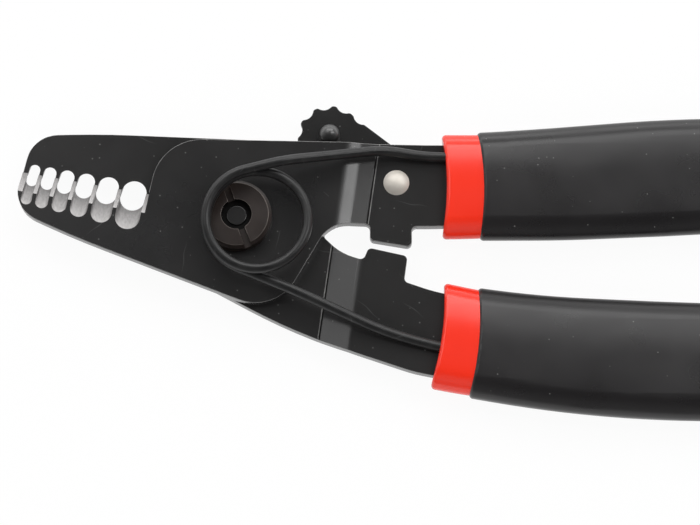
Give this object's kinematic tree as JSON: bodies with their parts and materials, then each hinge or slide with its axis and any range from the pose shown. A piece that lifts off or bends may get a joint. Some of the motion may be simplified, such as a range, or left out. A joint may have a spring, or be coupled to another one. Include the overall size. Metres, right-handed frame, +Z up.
{
  "type": "cable jacket stripper",
  "caption": "Plier-type cable jacket stripper: two joggled steel blades with a bevelled row of round notches, a torsion spring that opens them, a latch lever and dipped handle grips.",
  "frame": {"origin": "on the pivot axis, on the flat outer face of the pivot bolt's head, which the tool lies on", "axes": "+X from the pivot towards the handles, +Y towards the handle that carries the latch, +Z up from the surface the tool lies on, along the pivot axis"},
  "size_m": [0.1783, 0.0654, 0.0149],
  "materials": {
    "black_steel": "blackened satin",
    "bolt_steel": "blackened, slightly brown",
    "spring_wire": "blackened spring wire",
    "nickel": "nickel plated",
    "red_vinyl": "dipped soft vinyl, glossy",
    "black_vinyl": "dipped soft vinyl, semi-gloss"
  },
  "bodies": {
    "front_handle": {"front_blade": "black_steel", "pivot_bolt": "bolt_steel", "pivot_nut": "bolt_steel", "torsion_spring": "spring_wire", "latch_rivet": "nickel", "latch_washer": "nickel", "upper_sleeve": "red_vinyl", "upper_grip": "black_vinyl"},
    "rear_handle": {"rear_blade": "black_steel", "lower_sleeve": "red_vinyl", "lower_grip": "black_vinyl"},
    "latch": {"latch_lever": "black_steel", "latch_stud": "bolt_steel"}
  },
  "joints": [
    {"name": "blade_hinge", "type": "hinge", "parent": "front_handle", "child": "rear_handle", "pos_m": [0, 0, 0.0045], "axis": [0, 0, -1], "range_deg": [-3.2, 18], "stiffness_Nm_per_rad": 1.4, "springref_deg": 37.24, "deforming": ["torsion_spring"]},
    {"name": "latch_swing", "type": "hinge", "parent": "front_handle", "child": "latch", "pos_m": [0.03193, 0.0076, 0.0021], "axis": [0, 0, -1], "range_deg": [0, 60]}
  ]
}
